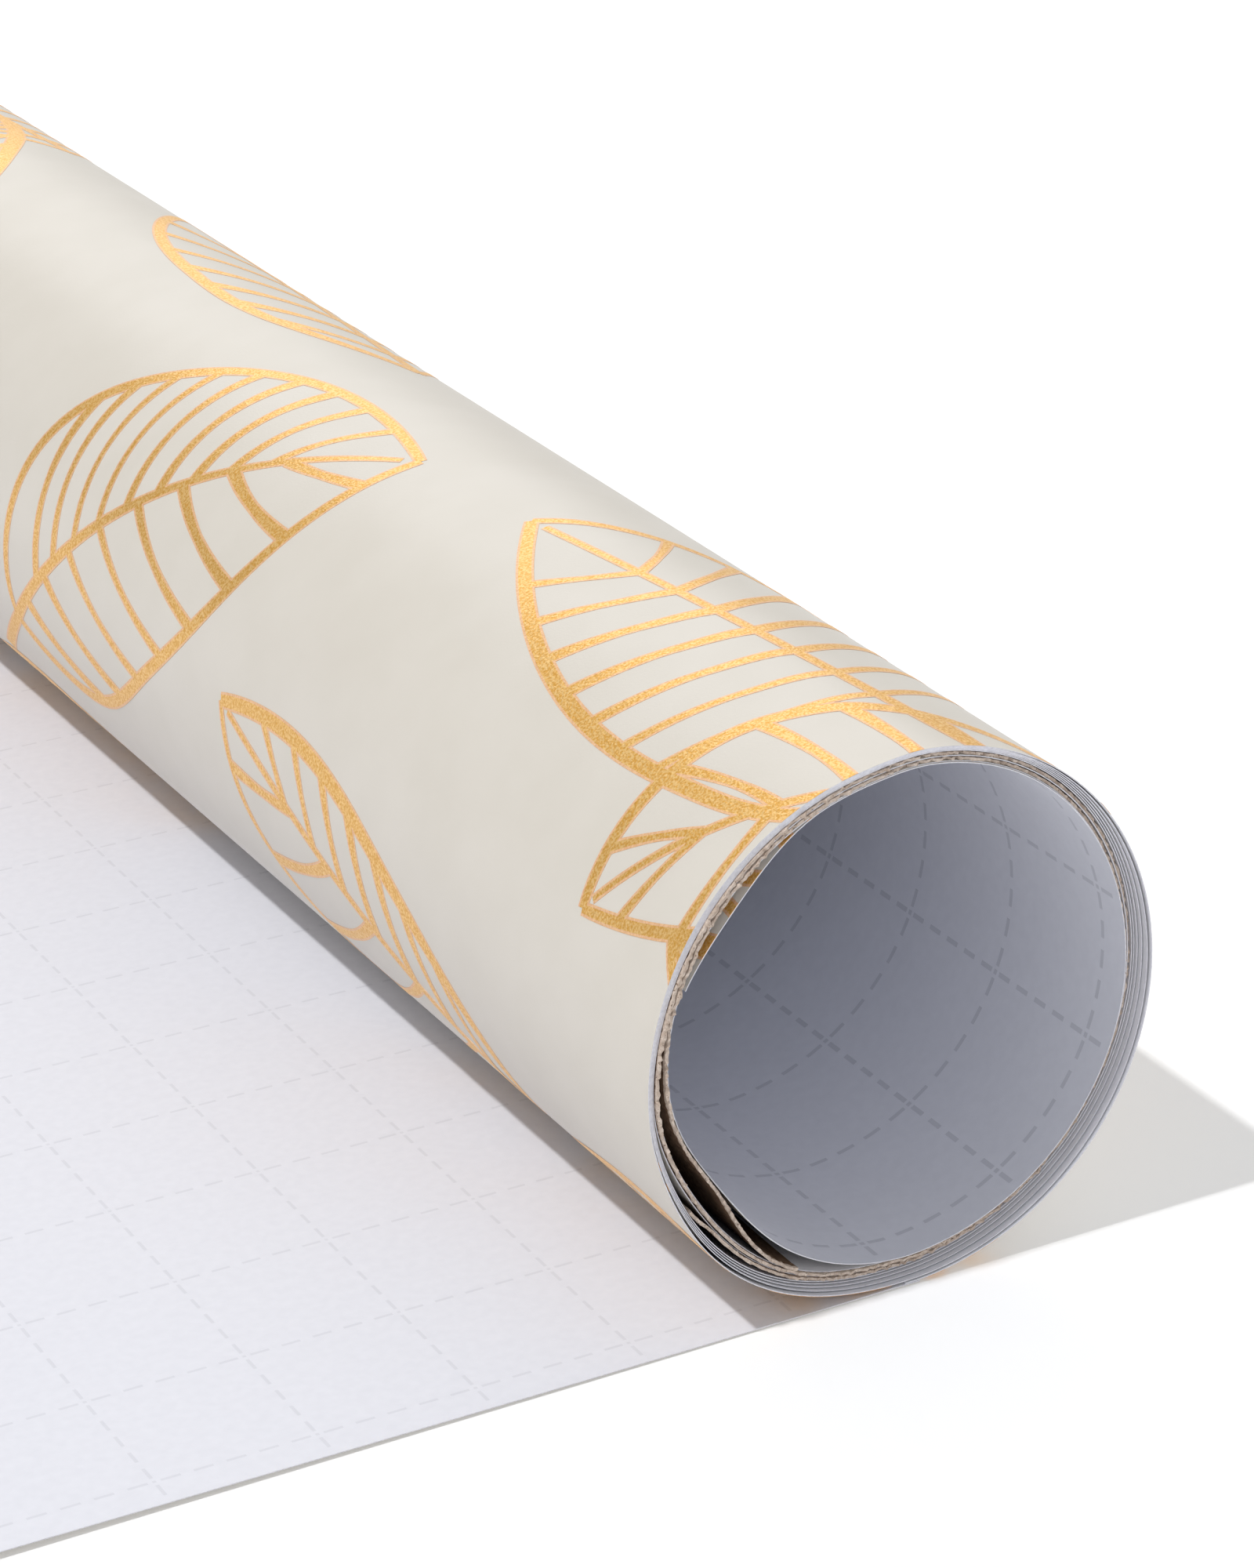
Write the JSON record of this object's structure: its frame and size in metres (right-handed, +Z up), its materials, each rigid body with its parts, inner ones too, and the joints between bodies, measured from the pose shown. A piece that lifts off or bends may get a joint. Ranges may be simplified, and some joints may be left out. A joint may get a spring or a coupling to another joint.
{
  "type": "wrapping paper roll",
  "caption": "Coreless roll of gift wrapping paper with a leaf print outside, a ruled reverse side, a kraft card liner and its loose end drawn out flat.",
  "frame": {"origin": "on the table, at the middle of the outline of the roll and its loose end", "axes": "+Y along the roll towards its rear end, +X from the loose end towards the roll, +Z up"},
  "size_m": [0.2045, 0.7, 0.0692],
  "materials": {
    "paper": "smooth coated paper, satin",
    "card": "matte kraft card",
    "foil": "embossed gold foil print"
  },
  "bodies": {
    "root": {"paper_tail": "paper"},
    "nip": {"paper_lead": "paper"},
    "winding": {"paper_winding": "paper", "card_liner": "card"}
  },
  "joints": [
    {"name": "roll_out", "type": "slide", "parent": "root", "child": "nip", "axis": [1, 0, 0], "range_m": [-0.15, 0.2177], "deforming": ["paper_tail"]},
    {"name": "roll_spin", "type": "hinge", "parent": "nip", "child": "winding", "pos_m": [0.06775, 0, 0.03465], "axis": [0, 1, 0], "range_deg": [-250, 362]}
  ],
  "couplings": [
    {"joint": "roll_spin", "follows": "roll_out", "rad_per_m": 28.86}
  ]
}
